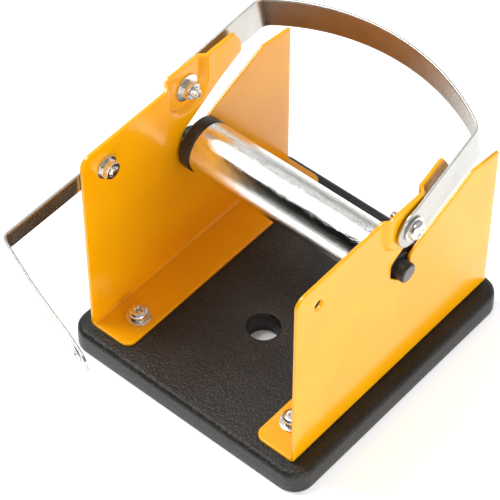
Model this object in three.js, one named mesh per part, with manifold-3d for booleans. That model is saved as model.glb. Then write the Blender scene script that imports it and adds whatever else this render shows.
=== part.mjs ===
// Bench stand for a reel of solder wire: moulded base, two sheet-metal brackets
// with hooked slots, a roller on a lift-out axle, a swinging bail and a swinging
// wire guide.
//
// Millimetres. +X runs along the roller, +Y to the back, +Z up. The design is
// drawn about the middle of the base and the whole group is then moved along Y,
// so that its origin is the middle of the object's footprint, on the bench.

import * as THREE from 'three';
import { mergeVertices } from 'three/addons/utils/BufferGeometryUtils.js';
import Module from 'manifold-3d';

const wasm = await Module();
wasm.setup();

// ---------------------------------------------------------------- dimensions
const BASE_W = 120, BASE_D = 130;          // base plate, X and Y
const BASE_BOTTOM = 0.3, BASE_TOP = 11;    // underside and top, the feet reach 0
const BASE_CORNER_R = 9, BASE_EDGE_R = 2.2;
const BASE_WALL = 3, BASE_HOLLOW = 4;      // rim, and how high the open underside reaches
const BASE_SKIN = 4;                       // plastic between a nut and the top
const HOLE_R = 6.7, HOLE_Y = -14.7;        // mounting hole through the base
const FOOT_R = 6, FOOT_H = 2, FOOT_X = 49, FOOT_Y = 54;

const SHEET = 1.5;                         // bracket sheet thickness
const WALL_X = 52.8;                       // outer face of a bracket
const FLANGE_IN = 32.6;                    // inner edge of a flange
const BR_FRONT = -58.9, BR_BACK = 61.5;    // front and back edge of a bracket
const FLANGE_CORNER_R = 4.5;
const BEND_R = 1.0;                        // inside radius of the fold
const BOSS_OUT = 2.7;                      // how far the pivot boss stands out
const BOSS_Y = 0.6, BOSS_Z = 98.2, BOSS_R1 = 11.3, BOSS_R2 = 9.0;

const SEAT_Y = 3.38, SEAT_Z = 69.6;        // axle centre in its seat
const AXLE_R = 4.2, SEAT_R = 4.3, AXLE_HALF = 56.0;
const TUBE_R = 11.0, TUBE_BORE_R = 9.5, TUBE_HALF = 45.0;
const BUSH_R = 11.5, BUSH_SPIGOT_R = 9.4, BUSH_BORE_R = 4.27;
const BUSH_OUT = 50.8, BUSH_IN = 36.0;

const PIVOT_Y = 1.74, PIVOT_Z = 97.8;      // bail pivot
const BAIL_TILT = 11.5;                    // degrees above level at rest
const BAIL_W = 16.6, BAIL_T = 1.0;
const BAIL_X0 = 56.9, BAIL_X1 = 54.2, BAIL_S1 = 36;   // arm centre line
const BAIL_APEX = 61.2, BAIL_BOW_R = 96.0, BAIL_CORNER_R = 6.0;

const GUIDE_Y = -46.5, GUIDE_Z = 94.1;     // wire guide pivot
const GUIDE_DIP = 2.0;                     // degrees below level at rest
const GUIDE_W = 8.6, GUIDE_T = 1.0;
const EYE_X = 1.2, EYE_HOLE_R = 2.5;       // eyelet hole in the guide's tip

const M4_R = 2.0, M4_CLEAR_R = 2.2;        // screw shank and clearance hole
const HEAD_R = 4.0, HEAD_H = 2.6;
const WASHER_R = 5.3, WASHER_T = 0.8;
const SPRING_R = 3.9, SPRING_T = 1.1;
const NUT_AF = 7.0, NUT_H = 3.2;
const FLANGE_SCREW_X = 40.2, FLANGE_SCREW_Y = [-44.5, 47.0];

const SHIFT_Y = 27.781;                      // puts the footprint's middle at Y = 0

// ------------------------------------------------------------------ materials
const mat = (color, roughness, metalness) =>
  new THREE.MeshStandardMaterial({ color, roughness, metalness });
const BLACK_PLASTIC = () => mat(0x2b2a29, 0.55, 0.0);
const YELLOW_PAINT = () => mat(0xf6a800, 0.28, 0.0);
const CHROME = () => mat(0xe6e6e6, 0.08, 1.0);
const STEEL_STRIP = () => mat(0xd2d0cb, 0.22, 1.0);
const ZINC = () => mat(0xcfcfca, 0.3, 1.0);
const RUBBER = () => mat(0x1c1c1c, 0.9, 0.0);
const BLACK_STEEL = () => mat(0x252526, 0.45, 0.4);

// -------------------------------------------------------------------- helpers
const V2 = (x, y) => new THREE.Vector2(x, y);
const rad = (d) => d * Math.PI / 180;

// Closed indexed mesh with only positions, degenerate triangles dropped and
// faces pointing out.
function clean(geom) {
  let g = geom.clone();
  for (const n of Object.keys(g.attributes)) if (n !== 'position') g.deleteAttribute(n);
  g.clearGroups();
  g = mergeVertices(g, 1e-4);
  const p = g.attributes.position.array, src = g.index.array, out = [];
  let vol = 0;
  for (let i = 0; i < src.length; i += 3) {
    const [a, b, c] = [src[i], src[i + 1], src[i + 2]];
    if (a === b || b === c || c === a) continue;
    out.push(a, b, c);
    const A = a * 3, B = b * 3, C = c * 3;
    vol += p[A] * (p[B + 1] * p[C + 2] - p[B + 2] * p[C + 1])
         - p[A + 1] * (p[B] * p[C + 2] - p[B + 2] * p[C])
         + p[A + 2] * (p[B] * p[C + 1] - p[B + 1] * p[C]);
  }
  if (vol < 0) for (let i = 0; i < out.length; i += 3) [out[i + 1], out[i + 2]] = [out[i + 2], out[i + 1]];
  const q = new THREE.BufferGeometry();
  q.setAttribute('position', new THREE.BufferAttribute(new Float32Array(p), 3));
  q.setIndex(out);
  return q;
}

function solid(geom) {
  const g = clean(geom);
  return new wasm.Manifold(new wasm.Mesh({
    numProp: 3,
    vertProperties: new Float32Array(g.attributes.position.array),
    triVerts: new Uint32Array(g.index.array),
  }));
}

function geometry(man) {
  const m = man.getMesh(), g = new THREE.BufferGeometry();
  const n = m.numProp, v = m.vertProperties, p = new Float32Array(v.length / n * 3);
  for (let i = 0; i < v.length / n; i++) for (let k = 0; k < 3; k++) p[i * 3 + k] = v[i * n + k];
  g.setAttribute('position', new THREE.BufferAttribute(p, 3));
  g.setIndex(Array.from(m.triVerts));
  return g;
}

function node(name, item, material) {
  let g = item.getMesh ? geometry(item) : clean(item);
  g = g.toNonIndexed();
  g.computeVertexNormals();
  const m = new THREE.Mesh(mergeVertices(g), material);
  m.name = name;
  return m;
}

const mirrorX = (geom) => { const g = geom.clone(); g.scale(-1, 1, 1); return clean(g); };

// Prism of an outline given in (Y, Z), between two X planes.
function prismX(shape, x0, x1, curveSegments = 10) {
  const g = new THREE.ExtrudeGeometry(shape, { depth: x1 - x0, bevelEnabled: false, curveSegments });
  g.applyMatrix4(new THREE.Matrix4().makeBasis(
    new THREE.Vector3(0, 1, 0), new THREE.Vector3(0, 0, 1), new THREE.Vector3(1, 0, 0)));
  g.translate(x0, 0, 0);
  return g;
}
// Prism of an outline given in (X, Z), between two Y planes.
function prismY(shape, y0, y1, curveSegments = 6) {
  const g = new THREE.ExtrudeGeometry(shape, { depth: y1 - y0, bevelEnabled: false, curveSegments });
  g.applyMatrix4(new THREE.Matrix4().makeBasis(
    new THREE.Vector3(1, 0, 0), new THREE.Vector3(0, 0, 1), new THREE.Vector3(0, -1, 0)));
  g.translate(0, y1, 0);
  return g;
}
// Prism of an outline given in (X, Y), between two Z planes.
function prismZ(shape, z0, z1, curveSegments = 6) {
  const g = new THREE.ExtrudeGeometry(shape, { depth: z1 - z0, bevelEnabled: false, curveSegments });
  g.translate(0, 0, z0);
  return g;
}
// Solid of revolution about X from (radius, x) pairs that close on themselves or
// start and end on the axis.
function lathX(points, segments = 32) {
  const g = new THREE.LatheGeometry(points.map(([r, x]) => V2(r, x)), segments);
  g.applyMatrix4(new THREE.Matrix4().makeBasis(
    new THREE.Vector3(0, 1, 0), new THREE.Vector3(1, 0, 0), new THREE.Vector3(0, 0, -1)));
  return g;
}
// The same about Z, from (radius, z) pairs.
function lathZ(points, segments = 32) {
  const g = new THREE.LatheGeometry(points.map(([r, z]) => V2(r, z)), segments);
  g.rotateX(Math.PI / 2);
  return g;
}
const rodX = (r, x0, x1, y, z, segments = 24) => {
  const g = new THREE.CylinderGeometry(r, r, x1 - x0, segments);
  g.rotateZ(Math.PI / 2);
  g.translate((x0 + x1) / 2, y, z);
  return g;
};
const rodZ = (r, z0, z1, x, y, segments = 24) => {
  const g = new THREE.CylinderGeometry(r, r, z1 - z0, segments);
  g.rotateX(Math.PI / 2);
  g.translate(x, y, (z0 + z1) / 2);
  return g;
};
function box(x0, x1, y0, y1, z0, z1) {
  const g = new THREE.BoxGeometry(x1 - x0, y1 - y0, z1 - z0);
  g.translate((x0 + x1) / 2, (y0 + y1) / 2, (z0 + z1) / 2);
  return g;
}
// Polygon with rounded corners from [u, v, radius] triples.
function roundPoly(pts, steps = 5) {
  const out = [], n = pts.length;
  for (let i = 0; i < n; i++) {
    const [x, y, r] = pts[i];
    if (!r) { out.push(V2(x, y)); continue; }
    const P = V2(x, y);
    const A = V2(...pts[(i + n - 1) % n].slice(0, 2)).sub(P).normalize();
    const B = V2(...pts[(i + 1) % n].slice(0, 2)).sub(P).normalize();
    const ang = Math.acos(THREE.MathUtils.clamp(A.dot(B), -1, 1));
    const t = r / Math.tan(ang / 2), h = r / Math.sin(ang / 2);
    const C = P.clone().add(A.clone().add(B).normalize().multiplyScalar(h));
    const s = P.clone().add(A.clone().multiplyScalar(t)).sub(C);
    const e = P.clone().add(B.clone().multiplyScalar(t)).sub(C);
    const a0 = Math.atan2(s.y, s.x);
    let d = Math.atan2(e.y, e.x) - a0;
    while (d > Math.PI) d -= 2 * Math.PI;
    while (d < -Math.PI) d += 2 * Math.PI;
    for (let k = 0; k <= steps; k++) {
      const a = a0 + d * k / steps;
      out.push(V2(C.x + r * Math.cos(a), C.y + r * Math.sin(a)));
    }
  }
  return out;
}
const arc = (cx, cy, r, a0, a1, n) => Array.from({ length: n + 1 }, (_, i) => {
  const a = rad(a0 + (a1 - a0) * i / n);
  return V2(cx + r * Math.cos(a), cy + r * Math.sin(a));
});
const roundRect = (w, d, r, steps = 6, inset = 0) => {
  const x = w / 2 - inset, y = d / 2 - inset, q = Math.max(r - inset, 0.4);
  return roundPoly([[-x, -y, q], [x, -y, q], [x, y, q], [-x, y, q]], steps);
};
// Convex outlines stacked at rising heights and closed at both ends.
function loftZ(rings) {
  const n = rings[0].pts.length, pos = [], idx = [];
  for (const { pts, z } of rings) for (const p of pts) pos.push(p.x, p.y, z);
  for (let k = 0; k + 1 < rings.length; k++) for (let i = 0; i < n; i++) {
    const a = k * n + i, b = k * n + (i + 1) % n, c = a + n, d = b + n;
    idx.push(a, b, d, a, d, c);
  }
  for (const [k, flip] of [[0, true], [rings.length - 1, false]]) for (let i = 1; i + 1 < n; i++) {
    const a = k * n, b = k * n + i, c = k * n + i + 1;
    if (flip) idx.push(a, c, b); else idx.push(a, b, c);
  }
  const g = new THREE.BufferGeometry();
  g.setAttribute('position', new THREE.BufferAttribute(new Float32Array(pos), 3));
  g.setIndex(idx);
  return g;
}
// Outline of a strip of thickness t around a centre line.
function band(line, t) {
  const left = [], right = [];
  for (let i = 0; i < line.length; i++) {
    const a = line[Math.max(i - 1, 0)], b = line[Math.min(i + 1, line.length - 1)];
    const d = b.clone().sub(a).normalize(), n = V2(-d.y, d.x).multiplyScalar(t / 2);
    left.push(line[i].clone().add(n));
    right.push(line[i].clone().sub(n));
  }
  return [...left, ...right.reverse()];
}
// Replaces the corner of a polyline at index k by an arc of radius r.
function filletLine(pts, k, r, steps = 6) {
  const P = pts[k], A = pts[k - 1].clone().sub(P).normalize(), B = pts[k + 1].clone().sub(P).normalize();
  const ang = Math.acos(A.dot(B)), t = r / Math.tan(ang / 2), h = r / Math.sin(ang / 2);
  const C = P.clone().add(A.clone().add(B).normalize().multiplyScalar(h));
  const s = P.clone().add(A.clone().multiplyScalar(t)).sub(C), e = P.clone().add(B.clone().multiplyScalar(t)).sub(C);
  const a0 = Math.atan2(s.y, s.x);
  let d = Math.atan2(e.y, e.x) - a0;
  while (d > Math.PI) d -= 2 * Math.PI;
  while (d < -Math.PI) d += 2 * Math.PI;
  const mid = Array.from({ length: steps + 1 }, (_, i) => {
    const a = a0 + d * i / steps;
    return V2(C.x + r * Math.cos(a), C.y + r * Math.sin(a));
  });
  return [...pts.slice(0, k), ...mid, ...pts.slice(k + 1)];
}

// ----------------------------------------------------------------- base plate
function basePlate() {
  const ring = (inset, z) => ({ pts: roundRect(BASE_W, BASE_D, BASE_CORNER_R, 6, inset), z });
  const R = BASE_EDGE_R, rings = [ring(0.5, BASE_BOTTOM), ring(0, BASE_BOTTOM + 0.5), ring(0, BASE_TOP - R)];
  for (const a of [30, 60, 90]) rings.push(ring(R * (1 - Math.cos(rad(a))), BASE_TOP - R + R * Math.sin(rad(a))));
  let m = solid(loftZ(rings));
  // hollow underside with bosses and ribs left standing
  let hollow = solid(loftZ([ring(BASE_WALL, BASE_BOTTOM - 1), ring(BASE_WALL, BASE_HOLLOW)]));
  const keep = [rodZ(HOLE_R + 3, 0, 9, 0, HOLE_Y, 28)];
  for (const sx of [-1, 1]) {
    for (const y of FLANGE_SCREW_Y) keep.push(rodZ(7, 0, 9, sx * FLANGE_SCREW_X, y, 20));
    for (const sy of [-1, 1]) keep.push(rodZ(8.7, 0, 9, sx * FOOT_X, sy * FOOT_Y, 20));
    keep.push(box(sx * 20 - 1, sx * 20 + 1, -64, 64, 0, 9));
  }
  for (const y of [-40, HOLE_Y, 25]) keep.push(box(-58, 58, y - 1, y + 1, 0, 9));
  for (const k of keep) hollow = hollow.subtract(solid(k));
  m = m.subtract(hollow);
  // holes, nut pockets and foot recesses
  m = m.subtract(solid(rodZ(HOLE_R, 0, 12, 0, HOLE_Y, 36)));
  m = m.subtract(solid(lathZ([[0, 10.1], [HOLE_R - 0.1, 10.1], [HOLE_R + 1.0, 11.1], [0, 11.1]], 36).translate(0, HOLE_Y, 0)));
  for (const sx of [-1, 1]) {
    for (const y of FLANGE_SCREW_Y) {
      m = m.subtract(solid(rodZ(M4_CLEAR_R, 0, 12, sx * FLANGE_SCREW_X, y, 16)));
      m = m.subtract(solid(rodZ((NUT_AF / 2 + 0.15) / Math.cos(rad(30)), 0, BASE_TOP - BASE_SKIN, sx * FLANGE_SCREW_X, y, 6)));
    }
    for (const sy of [-1, 1]) m = m.subtract(solid(rodZ(FOOT_R + 0.2, 0, FOOT_H, sx * FOOT_X, sy * FOOT_Y, 24)));
  }
  return m;
}

// ------------------------------------------------------------------- brackets
// Outline of the right bracket's wall in (Y, Z), counter-clockwise.
function wallOutline() {
  const pts = [
    [BR_FRONT, BASE_TOP - 1, 0], [BR_BACK, BASE_TOP - 1, 0],
    [BR_BACK, 87.9, 0.8],            // peak at the back edge
    [45.2, 89.9, 3.0],               // kink of the ramp
    [16.8, 78.6, 6.0],               // foot of the ramp
    [SEAT_Y + SEAT_R, 73.6, 2.2],    // lip behind the seat
    [SEAT_Y + SEAT_R, SEAT_Z, 0],
  ];
  const seat = arc(SEAT_Y, SEAT_Z, SEAT_R, 0, -135, 14);
  const rest = [
    [-4.0, 71.0, 1.5],               // front of the pocket
    [-4.0, 78.3, 3.4],
    [30.9, 98.5, 1.6],               // lower corner of the horn's end
    [29.6, 105.4, 2.4],
    [25.9, 111.5, 1.8],              // horn tip
    [9.6, 108.9, 6.0],
    [-7.4, 109.1, 3.0],              // front of the ear
    [-12.6, 106.6, 6.0],
    [BR_FRONT, 105.6, 5.0],
  ];
  const seq = [...pts.map((p) => [...p]), ...seat.slice(1).map((p) => [p.x, p.y, 0]), ...rest];
  return roundPoly(seq, 5);
}

function bossFrustum(x0, x1, back, grow = 0) {
  // D-shaped raised pad, open above the ear, sloping sides
  const outline = (r) => {
    const pts = [...arc(BOSS_Y, BOSS_Z, r, 180, 360, 14)];
    pts.push(V2(BOSS_Y + r, BOSS_Z + 24), V2(BOSS_Y - r, BOSS_Z + 24));
    return pts;
  };
  const a = outline(BOSS_R1 + grow), b = outline(BOSS_R2 + grow);
  const n = a.length, pos = [], idx = [];
  for (const [ring, x] of [[a, x0 - back], [a, x0], [b, x1]]) for (const p of ring) pos.push(x, p.x, p.y);
  for (let k = 0; k < 2; k++) for (let i = 0; i < n; i++) {
    const p = k * n + i, q = k * n + (i + 1) % n;
    idx.push(p, q, q + n, p, q + n, p + n);
  }
  for (let i = 1; i + 1 < n; i++) idx.push(0, i + 1, i, 2 * n, 2 * n + i, 2 * n + i + 1);
  const g = new THREE.BufferGeometry();
  g.setAttribute('position', new THREE.BufferAttribute(new Float32Array(pos), 3));
  g.setIndex(idx);
  return g;
}

function bracketRight() {
  const xo = WALL_X, xi = WALL_X - SHEET, z0 = BASE_TOP, r = BEND_R, R = BEND_R + SHEET;
  const section = new THREE.Shape([
    V2(FLANGE_IN, z0), ...arc(xo - R, z0 + R, R, -90, 0, 6), V2(xo, 112),
    V2(xi, 112), ...arc(xi - r, z0 + SHEET + r, r, 0, -90, 5), V2(FLANGE_IN, z0 + SHEET),
  ]);
  let m = solid(prismY(section, BR_FRONT, BR_BACK));
  m = m.intersect(solid(prismZ(new THREE.Shape(roundPoly([
    [FLANGE_IN, BR_FRONT, FLANGE_CORNER_R], [60, BR_FRONT, 0], [60, BR_BACK, 0], [FLANGE_IN, BR_BACK, FLANGE_CORNER_R],
  ], 6)), 5, 130)));
  // pivot boss: the sheet stands out as one pad of even thickness
  const outer = solid(bossFrustum(xo, xo + BOSS_OUT, 0.8));
  const trim = solid(box(40, 54, -30, 40, 112, 130));
  m = m.add(outer.subtract(trim));
  m = m.subtract(solid(bossFrustum(xo - SHEET, xo - SHEET + BOSS_OUT, 3, -0.25)));
  const wall = solid(prismX(new THREE.Shape(wallOutline()), 20, 60));
  m = m.intersect(wall);
  const hole = (y, z, rr) => { m = m.subtract(solid(rodX(rr, 45, 60, y, z, 20))); };
  hole(PIVOT_Y, PIVOT_Z, M4_CLEAR_R);
  hole(GUIDE_Y, GUIDE_Z, 2.4);
  for (const y of FLANGE_SCREW_Y) m = m.subtract(solid(rodZ(M4_CLEAR_R, 5, 20, FLANGE_SCREW_X, y, 16)));
  return m;
}

// --------------------------------------------------------------------- roller
const axleRod = () => lathX([
  [0, -AXLE_HALF], [AXLE_R - 0.7, -AXLE_HALF], [AXLE_R, -AXLE_HALF + 0.7],
  [AXLE_R, AXLE_HALF - 0.7], [AXLE_R - 0.7, AXLE_HALF], [0, AXLE_HALF]], 36);
const rollerTube = () => lathX([
  [TUBE_BORE_R, -TUBE_HALF], [TUBE_R - 0.3, -TUBE_HALF], [TUBE_R, -TUBE_HALF + 0.3],
  [TUBE_R, TUBE_HALF - 0.3], [TUBE_R - 0.3, TUBE_HALF], [TUBE_BORE_R, TUBE_HALF], [TUBE_BORE_R, -TUBE_HALF]], 48);
const rollerBush = (s) => lathX([
  [BUSH_BORE_R, s * BUSH_IN], [BUSH_SPIGOT_R - 0.4, s * BUSH_IN], [BUSH_SPIGOT_R, s * (BUSH_IN + 0.4)],
  [BUSH_SPIGOT_R, s * (TUBE_HALF + 0.02)], [BUSH_R, s * (TUBE_HALF + 0.02)], [BUSH_R, s * (BUSH_OUT - 0.6)],
  [BUSH_R - 0.6, s * BUSH_OUT], [BUSH_BORE_R, s * BUSH_OUT], [BUSH_BORE_R, s * BUSH_IN]], 48);

// ------------------------------------------------------------------ fasteners
// Pan-head screw along +Z: head on top of z = 0, shank below.
function panScrew(length) {
  const h = HEAD_H, r = HEAD_R;
  let m = solid(lathZ([
    [0, -length], [M4_R - 0.4, -length], [M4_R, -length + 0.4], [M4_R, 0], [r, 0], [r, h * 0.45],
    [r * 0.9, h * 0.75], [r * 0.68, h * 0.93], [r * 0.4, h], [0, h]], 24));
  const cross = solid(box(-0.45, 0.45, -2.2, 2.2, h - 1.5, h + 1)).add(solid(box(-2.2, 2.2, -0.45, 0.45, h - 1.5, h + 1)));
  return m.subtract(cross);
}
const washer = (inner, outer, t, segments = 24) =>
  lathZ([[inner, 0], [outer, 0], [outer, t], [inner, t], [inner, 0]], segments);
function springWasher() {
  let m = solid(washer(M4_R + 0.15, SPRING_R, SPRING_T));
  const slit = box(1, 6, -0.35, 0.35, -1, 3);
  slit.rotateX(rad(25));
  return m.subtract(solid(slit.rotateZ(rad(-118))));
}
function hexNut() {
  const hex = rodZ(NUT_AF / 2 / Math.cos(rad(30)), 0, NUT_H, 0, 0, 6);
  let m = solid(hex);
  const R = NUT_AF / 2 / Math.cos(rad(30));
  m = m.intersect(solid(lathZ([[0, 0], [R - 0.45, 0], [R + 0.02, 0.35], [R + 0.02, NUT_H - 0.35], [R - 0.45, NUT_H], [0, NUT_H]], 24)));
  return m.subtract(solid(rodZ(M4_R + 0.05, -1, NUT_H + 1, 0, 0, 16)));
}
// Lays a +Z piece along X: side = 1 points its top to +X, -1 to -X.
function alongX(item, side, x, y, z, turn = 0) {
  const g = item.getMesh ? geometry(item) : clean(item);
  g.rotateZ(turn);
  g.rotateY(side * Math.PI / 2);
  g.translate(x, y, z);
  return clean(g);
}
function placed(item, x, y, z, turn = 0) {
  const g = item.getMesh ? geometry(item) : clean(item);
  g.rotateZ(turn);
  g.translate(x, y, z);
  return clean(g);
}

// ----------------------------------------------------------------------- bail
// Drawn in its own plane: X across, Y along the arms from the pivot, Z across
// the strip's width.
function bailStrip() {
  const c = BAIL_APEX - BAIL_BOW_R, cx = 53.45;
  const sAt = (x) => c + Math.sqrt(BAIL_BOW_R ** 2 - x * x);
  let line = [V2(-BAIL_X0, -BAIL_W / 2 - 1), V2(-BAIL_X0, 4), V2(-BAIL_X1, BAIL_S1), V2(-cx, sAt(cx))];
  for (let x = -47.5; x <= 47.51; x += 95 / 16) line.push(V2(x, sAt(x)));
  line.push(V2(cx, sAt(cx)), V2(BAIL_X1, BAIL_S1), V2(BAIL_X0, 4), V2(BAIL_X0, -BAIL_W / 2 - 1));
  line = filletLine(line, line.length - 4, BAIL_CORNER_R, 6);
  line = filletLine(line, 3, BAIL_CORNER_R, 6);
  let m = solid(prismZ(new THREE.Shape(band(line, BAIL_T)), -BAIL_W / 2, BAIL_W / 2));
  const r = BAIL_W / 2;
  const side = prismX(new THREE.Shape([V2(70, -r - 0.01), V2(70, r + 0.01), ...arc(0, 0, r, 90, 270, 14)]), -70, 70);
  m = m.intersect(solid(side));
  for (const s of [-1, 1]) m = m.subtract(solid(rodX(2.1, s > 0 ? 50 : -62, s > 0 ? 62 : -50, 0, 0, 20)));
  return m;
}

// ----------------------------------------------------------------- wire guide
const GUIDE_LINE = (() => {
  let line = [[-53.45, -5.5], [-53.45, 12.5], [-54.2, 51.6], [-47, 54.3], [-40, 56.9], [-32, 59.9],
    [-25, 62.3], [-18, 64.5], [-11, 66.7], [-5, 68.5], [8.8, 73.6]].map(([x, s]) => V2(x, s));
  line = filletLine(line, 2, 3.6, 6);
  return line;
})();
const EYE = (() => {               // point and direction of the guide at the eyelet
  for (let i = 0; i + 1 < GUIDE_LINE.length; i++) {
    const a = GUIDE_LINE[i], b = GUIDE_LINE[i + 1];
    if (a.x <= EYE_X && b.x > EYE_X) {
      const t = (EYE_X - a.x) / (b.x - a.x);
      return { x: EYE_X, s: a.y + (b.y - a.y) * t, angle: Math.atan2(b.y - a.y, b.x - a.x) };
    }
  }
})();
function guideStrip() {
  const w = GUIDE_W / 2;
  let m = solid(prismZ(new THREE.Shape(band(GUIDE_LINE, GUIDE_T)), -w, w));
  // round both ends: the pivot end in the side view, the tip in the front view
  const side = prismX(new THREE.Shape([V2(90, -w - 0.01), V2(90, w + 0.01), ...arc(0, 0, w, 90, 270, 10)]), -70, 40);
  m = m.intersect(solid(side));
  const tip = new THREE.Shape([V2(-70, -w - 0.01), ...arc(8.8 - w, 0, w, -90, 90, 10), V2(-70, w + 0.01)]);
  const g = prismY(tip, 0, 90);
  m = m.intersect(solid(g));
  m = m.subtract(solid(rodX(2.1, -60, -50, 0, 0, 20)));
  const eye = new THREE.CylinderGeometry(EYE_HOLE_R, EYE_HOLE_R, 8, 24);
  eye.rotateZ(EYE.angle);
  eye.translate(EYE.x, EYE.s, 0);
  return m.subtract(solid(eye));
}
function guideEyelet() {
  const t = GUIDE_T / 2 + 0.03, g = new THREE.LatheGeometry([
    V2(1.7, -t - 0.45), V2(2.6, -t - 0.45), V2(3.4, -t - 0.12), V2(3.4, -t), V2(2.44, -t),
    V2(2.44, t), V2(3.4, t), V2(3.4, t + 0.12), V2(2.6, t + 0.45), V2(1.7, t + 0.45), V2(1.7, -t - 0.45)], 24);
  g.rotateZ(EYE.angle);
  g.translate(EYE.x, EYE.s, 0);
  return g;
}

// ------------------------------------------------------------------- assembly
const stand = new THREE.Group();
stand.position.y = SHIFT_Y;

stand.add(node('base_plate', basePlate(), BLACK_PLASTIC()));
for (const [sx, nx] of [[-1, 'left'], [1, 'right']]) for (const [sy, ny] of [[-1, 'front'], [1, 'rear']])
  stand.add(node(`foot_${ny}_${nx}`, rodZ(FOOT_R, 0, FOOT_H, sx * FOOT_X, sy * FOOT_Y, 24), RUBBER()));

const right = geometry(bracketRight());
stand.add(node('bracket_right', right, YELLOW_PAINT()));
stand.add(node('bracket_left', mirrorX(right), YELLOW_PAINT()));

for (const [sx, nx] of [[-1, 'left'], [1, 'right']]) FLANGE_SCREW_Y.forEach((y, i) => {
  const tag = `${i ? 'rear' : 'front'}_${nx}`, x = sx * FLANGE_SCREW_X, z = BASE_TOP + SHEET;
  stand.add(node(`flange_washer_${tag}`, placed(washer(M4_R + 0.2, WASHER_R, WASHER_T), x, y, z), ZINC()));
  stand.add(node(`flange_spring_washer_${tag}`, placed(springWasher(), x, y, z + WASHER_T), ZINC()));
  stand.add(node(`flange_screw_${tag}`, placed(panScrew(10), x, y, z + WASHER_T + SPRING_T, rad(20 + 35 * i)), ZINC()));
  stand.add(node(`flange_nut_${tag}`, placed(hexNut(), x, y, BASE_TOP - BASE_SKIN - NUT_H), ZINC()));
});

for (const [s, nx] of [[-1, 'left'], [1, 'right']]) {
  const out = BAIL_X0 + BAIL_T / 2 + 0.1, mid = WALL_X + BOSS_OUT, inn = mid - SHEET;
  stand.add(node(`bail_washer_middle_${nx}`, alongX(washer(M4_R + 0.15, WASHER_R, WASHER_T), s, s * mid, PIVOT_Y, PIVOT_Z), ZINC()));
  stand.add(node(`bail_washer_outer_${nx}`, alongX(washer(M4_R + 0.15, WASHER_R, WASHER_T), s, s * out, PIVOT_Y, PIVOT_Z), ZINC()));
  stand.add(node(`bail_screw_${nx}`, alongX(panScrew(11), s, s * (out + WASHER_T), PIVOT_Y, PIVOT_Z, rad(30)), ZINC()));
  stand.add(node(`bail_washer_inner_${nx}`, alongX(washer(M4_R + 0.15, 6.0, WASHER_T), s, s * (inn - WASHER_T), PIVOT_Y, PIVOT_Z), ZINC()));
  stand.add(node(`bail_nut_${nx}`, alongX(hexNut(), s, s * (inn - WASHER_T - NUT_H), PIVOT_Y, PIVOT_Z, rad(12)), ZINC()));
}

const roller = new THREE.Group();
roller.position.set(0, SEAT_Y, SEAT_Z);
roller.add(node('axle_rod', axleRod(), BLACK_STEEL()));
roller.add(node('roller_tube', rollerTube(), CHROME()));
roller.add(node('roller_bush_left', rollerBush(-1), BLACK_PLASTIC()));
roller.add(node('roller_bush_right', rollerBush(1), BLACK_PLASTIC()));
stand.add(roller);

const bail = new THREE.Group();
bail.position.set(0, PIVOT_Y, PIVOT_Z);
bail.rotation.x = rad(BAIL_TILT);
bail.add(node('bail', bailStrip(), STEEL_STRIP()));
stand.add(bail);

const guide = new THREE.Group();
guide.position.set(0, GUIDE_Y, GUIDE_Z);
guide.rotation.x = Math.PI + rad(GUIDE_DIP);
guide.add(node('wire_guide', guideStrip(), STEEL_STRIP()));
guide.add(node('guide_eyelet', guideEyelet(), STEEL_STRIP()));
stand.add(guide);
{
  const out = 53.45 + GUIDE_T / 2 + 0.1, inn = WALL_X - SHEET;
  stand.add(node('guide_washer_outer', alongX(washer(M4_R + 0.15, 4.5, WASHER_T), -1, -out, GUIDE_Y, GUIDE_Z), ZINC()));
  stand.add(node('guide_screw', alongX(panScrew(8.5), -1, -(out + WASHER_T), GUIDE_Y, GUIDE_Z, rad(15)), ZINC()));
  stand.add(node('guide_washer_inner', alongX(washer(M4_R + 0.15, 5.0, WASHER_T), -1, -(inn - WASHER_T), GUIDE_Y, GUIDE_Z), ZINC()));
  stand.add(node('guide_nut', alongX(hexNut(), -1, -(inn - WASHER_T - NUT_H), GUIDE_Y, GUIDE_Z, rad(8)), ZINC()));
}

export default stand;
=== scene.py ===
import math

import bmesh
import bpy
import numpy as np
from mathutils import Matrix, Vector
from mathutils.geometry import delaunay_2d_cdt


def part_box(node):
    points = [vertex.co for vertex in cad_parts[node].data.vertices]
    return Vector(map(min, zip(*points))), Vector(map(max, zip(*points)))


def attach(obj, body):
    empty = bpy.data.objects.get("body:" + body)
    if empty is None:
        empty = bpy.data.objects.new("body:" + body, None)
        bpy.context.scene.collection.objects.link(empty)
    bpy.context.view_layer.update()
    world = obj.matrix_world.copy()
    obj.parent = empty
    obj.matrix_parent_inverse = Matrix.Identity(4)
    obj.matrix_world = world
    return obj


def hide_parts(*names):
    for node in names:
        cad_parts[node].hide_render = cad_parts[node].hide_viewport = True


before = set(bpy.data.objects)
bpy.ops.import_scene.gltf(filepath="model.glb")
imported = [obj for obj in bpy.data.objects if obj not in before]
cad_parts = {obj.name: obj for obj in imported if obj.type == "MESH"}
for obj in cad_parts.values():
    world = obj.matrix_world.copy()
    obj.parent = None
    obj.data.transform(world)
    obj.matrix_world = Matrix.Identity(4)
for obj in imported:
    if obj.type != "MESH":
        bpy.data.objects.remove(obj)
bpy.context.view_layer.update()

# The object is drawn in millimetres about the middle of the base plate, and YC
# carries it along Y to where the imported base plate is.
b_lo, b_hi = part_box("base_plate")
YC = (b_lo.y + b_hi.y) / 2 * 1000
MM = 0.001

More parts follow.
